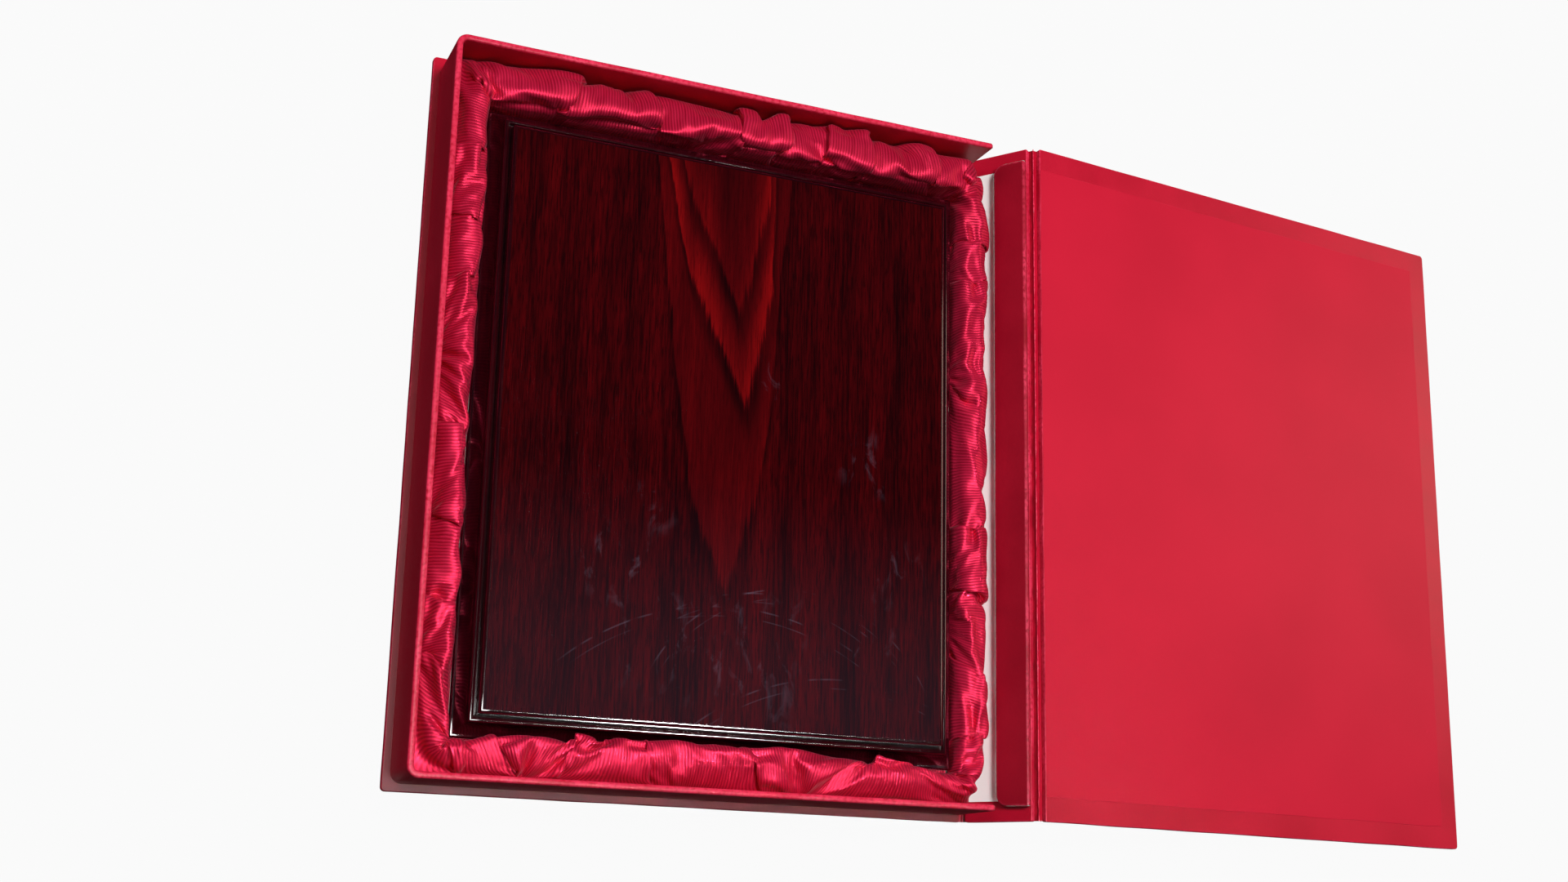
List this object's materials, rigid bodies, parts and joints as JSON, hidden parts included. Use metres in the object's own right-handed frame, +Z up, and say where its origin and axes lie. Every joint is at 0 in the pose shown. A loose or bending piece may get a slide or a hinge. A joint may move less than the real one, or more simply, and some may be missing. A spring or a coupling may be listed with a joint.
{
  "type": "plaque presentation case",
  "caption": "Open book-style presentation case of red paper-covered board, lined with gathered satin, holding a glossy rosewood plaque with a moulded edge; spine and lid fold at paper creases.",
  "frame": {"origin": "middle of the tray's outline, on the underside of the base board", "axes": "+X towards the hinge side and the open lid, +Y to the far side, +Z up"},
  "size_m": [0.6069, 0.355, 0.04],
  "materials": {
    "grey_board": "raw grey board",
    "red_paper": "leather-grained red covering paper, satin",
    "red_liner": "smooth bright red liner paper",
    "white_paper": "plain white lining paper",
    "satin": "crimson satin, gathered",
    "foam": "soft foam",
    "rosewood_edge": "dark stain under gloss lacquer",
    "rosewood_face": "rosewood veneer under gloss lacquer"
  },
  "bodies": {
    "tray": {"base_board": "grey_board", "base_cover_paper": "red_paper", "base_crease": "red_paper", "tray_wall_board": "grey_board", "tray_wall_wrap": "red_paper", "floor_pad": "foam", "satin_floor": "satin", "satin_left": "satin", "satin_right": "satin", "satin_far": "satin", "satin_near": "satin", "foam_left": "foam", "foam_right": "foam", "foam_far": "foam", "foam_near": "foam"},
    "spine": {"spine_board": "grey_board", "spine_cover_paper": "red_paper", "spine_lining": "white_paper", "spine_lip_board": "grey_board", "spine_lip_wrap": "red_paper", "lid_crease": "red_paper"},
    "lid": {"lid_board": "grey_board", "lid_cover_paper": "red_paper", "lid_liner": "red_liner"},
    "plaque": {"plaque_core": "rosewood_edge", "plaque_veneer": "rosewood_face"}
  },
  "joints": [
    {"name": "spine_hinge", "type": "hinge", "parent": "tray", "child": "spine", "pos_m": [0.1458, 0, 0.0009], "axis": [0, 1, 0], "range_deg": [-35, 55]},
    {"name": "lid_hinge", "type": "hinge", "parent": "spine", "child": "lid", "pos_m": [0.16983, 0, 0.03522], "axis": [0, 1, 0], "range_deg": [-151.73, 14]},
    {"name": "plaque_lift", "type": "slide", "parent": "tray", "child": "plaque", "axis": [0, 0, 1], "range_m": [0, 0.006]}
  ]
}
